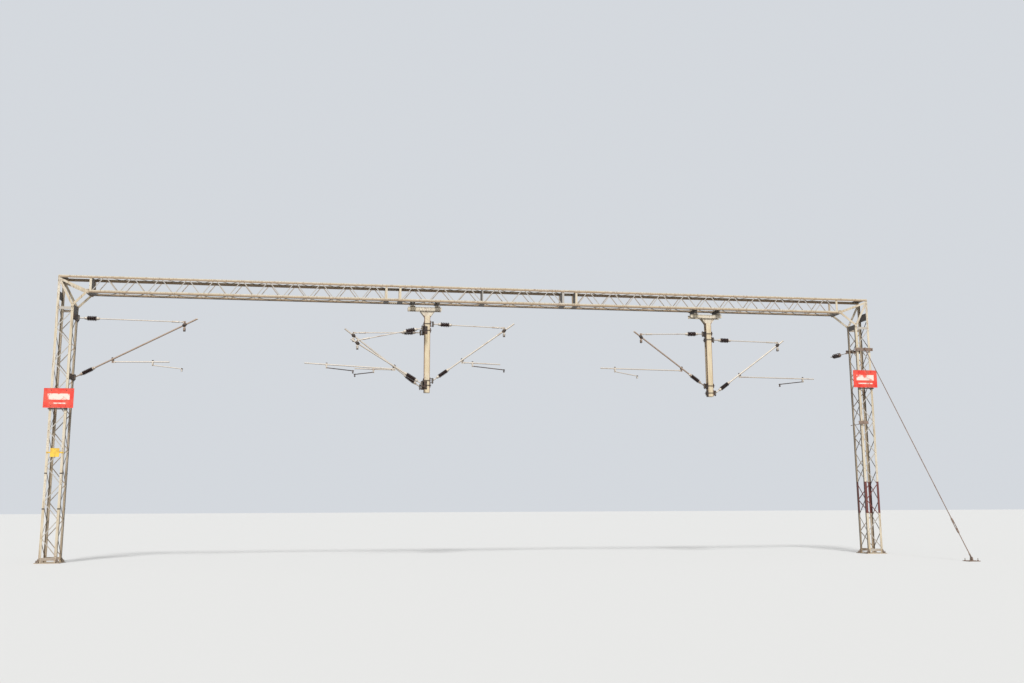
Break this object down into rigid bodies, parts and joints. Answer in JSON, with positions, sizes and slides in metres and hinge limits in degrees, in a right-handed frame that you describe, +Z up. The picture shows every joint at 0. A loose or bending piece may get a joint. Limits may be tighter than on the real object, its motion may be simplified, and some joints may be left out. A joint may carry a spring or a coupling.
{
  "type": "railway catenary portal mast",
  "caption": "Railway catenary portal: lattice uprights and lattice boom with drop arms, swivelling insulated cantilevers and a guyed anchor.",
  "frame": {"origin": "middle of the underside of the left upright's base plate", "axes": "+X along the boom towards the anchor upright, +Y along the tracks away from the guy, +Z up"},
  "size_m": [29.06, 7.7394, 9.345],
  "materials": {
    "frame_steel": "weathered pale grey paint",
    "tube_steel": "galvanised and stained brown",
    "porcelain": "dark brown glaze",
    "dark_steel": "dark weathered steel",
    "anchor_steel": "rust brown steel",
    "red_paint": "faded red paint",
    "yellow_paint": "yellow paint"
  },
  "bodies": {
    "frame": {"base_plates": "frame_steel", "left_upright_near_face": "frame_steel", "left_upright_far_face": "frame_steel", "left_upright_side_lacing": "frame_steel", "left_knee_frame": "frame_steel", "right_upright_near_face": "frame_steel", "right_upright_far_face": "frame_steel", "right_upright_side_lacing": "frame_steel", "right_knee_frame": "frame_steel", "boom_left_near_truss": "frame_steel", "boom_left_far_truss": "frame_steel", "boom_left_cross_lacing": "frame_steel", "boom_middle_near_truss": "frame_steel", "boom_middle_far_truss": "frame_steel", "boom_middle_cross_lacing": "frame_steel", "boom_right_near_truss": "frame_steel", "boom_right_far_truss": "frame_steel", "boom_right_cross_lacing": "frame_steel", "boom_splice_plates": "frame_steel", "first_drop_arm": "frame_steel", "first_arm_hanger": "frame_steel", "second_drop_arm": "frame_steel", "second_arm_hanger": "frame_steel", "swivel_brackets": "dark_steel", "anchor_bars": "anchor_steel", "strain_insulator": "anchor_steel", "guy_rod": "anchor_steel", "guy_foot": "anchor_steel", "red_boards": "red_paint", "number_plate": "yellow_paint"},
    "left_cantilever": {"left_bracket_tube": "tube_steel", "left_stay_tube": "tube_steel", "left_insulators": "porcelain", "left_register_tube": "tube_steel"},
    "left_steady_arm_body": {"left_steady_arm": "dark_steel"},
    "first_right_cantilever": {"first_right_bracket_tube": "tube_steel", "first_right_stay_tube": "tube_steel", "first_right_insulators": "porcelain", "first_right_register_tube": "tube_steel"},
    "first_right_steady_arm_body": {"first_right_steady_arm": "dark_steel"},
    "first_near_cantilever": {"first_near_bracket_tube": "tube_steel", "first_near_stay_tube": "tube_steel", "first_near_insulators": "porcelain", "first_near_register_tube": "tube_steel"},
    "first_near_steady_arm_body": {"first_near_steady_arm": "dark_steel"},
    "first_far_cantilever": {"first_far_bracket_tube": "tube_steel", "first_far_stay_tube": "tube_steel", "first_far_insulators": "porcelain", "first_far_register_tube": "tube_steel"},
    "first_far_steady_arm_body": {"first_far_steady_arm": "dark_steel"},
    "second_left_cantilever": {"second_left_bracket_tube": "tube_steel", "second_left_stay_tube": "tube_steel", "second_left_insulators": "porcelain", "second_left_register_tube": "tube_steel"},
    "second_left_steady_arm_body": {"second_left_steady_arm": "dark_steel"},
    "second_right_cantilever": {"second_right_bracket_tube": "tube_steel", "second_right_stay_tube": "tube_steel", "second_right_insulators": "porcelain", "second_right_register_tube": "tube_steel"},
    "second_right_steady_arm_body": {"second_right_steady_arm": "dark_steel"}
  },
  "joints": [
    {"name": "left_swing", "type": "hinge", "parent": "frame", "child": "left_cantilever", "pos_m": [0.3725, 0, 5.974], "axis": [0, 0, 1], "range_deg": [-15, 15]},
    {"name": "left_steady_lift", "type": "hinge", "parent": "left_cantilever", "child": "left_steady_arm_body", "pos_m": [2.8055, 0, 6.41864], "axis": [0, -1, 0], "range_deg": [0, 6]},
    {"name": "first_right_swing", "type": "hinge", "parent": "frame", "child": "first_right_cantilever", "pos_m": [12.145, 0, 6.045], "axis": [0, 0, 1], "range_deg": [-15, 15]},
    {"name": "first_right_steady_lift", "type": "hinge", "parent": "first_right_cantilever", "child": "first_right_steady_arm_body", "pos_m": [13.545, 0, 6.58141], "axis": [0, -1, 0], "range_deg": [0, 6]},
    {"name": "first_near_swing", "type": "hinge", "parent": "frame", "child": "first_near_cantilever", "pos_m": [11.745, -0.45, 5.875], "axis": [0, 0, 1], "range_deg": [-6, 15]},
    {"name": "first_near_steady_lift", "type": "hinge", "parent": "first_near_cantilever", "child": "first_near_steady_arm_body", "pos_m": [8.522, -0.45, 6.37532], "axis": [0, -1, 0], "range_deg": [0, 6]},
    {"name": "first_far_swing", "type": "hinge", "parent": "frame", "child": "first_far_cantilever", "pos_m": [11.745, 0.45, 5.875], "axis": [0, 0, 1], "range_deg": [-15, 6]},
    {"name": "first_far_steady_lift", "type": "hinge", "parent": "first_far_cantilever", "child": "first_far_steady_arm_body", "pos_m": [10.119, 0.45, 6.3693], "axis": [0, 1, 0], "range_deg": [0, 6]},
    {"name": "second_left_swing", "type": "hinge", "parent": "frame", "child": "second_left_cantilever", "pos_m": [22.02, 0, 6.01], "axis": [0, 0, 1], "range_deg": [-15, 15]},
    {"name": "second_left_steady_lift", "type": "hinge", "parent": "second_left_cantilever", "child": "second_left_steady_arm_body", "pos_m": [18.688, 0, 6.47825], "axis": [0, -1, 0], "range_deg": [0, 6]},
    {"name": "second_right_swing", "type": "hinge", "parent": "frame", "child": "second_right_cantilever", "pos_m": [22.42, 0, 5.75], "axis": [0, 0, 1], "range_deg": [-15, 15]},
    {"name": "second_right_steady_lift", "type": "hinge", "parent": "second_right_cantilever", "child": "second_right_steady_arm_body", "pos_m": [25.82, 0, 6.22401], "axis": [0, 1, 0], "range_deg": [0, 6]}
  ]
}
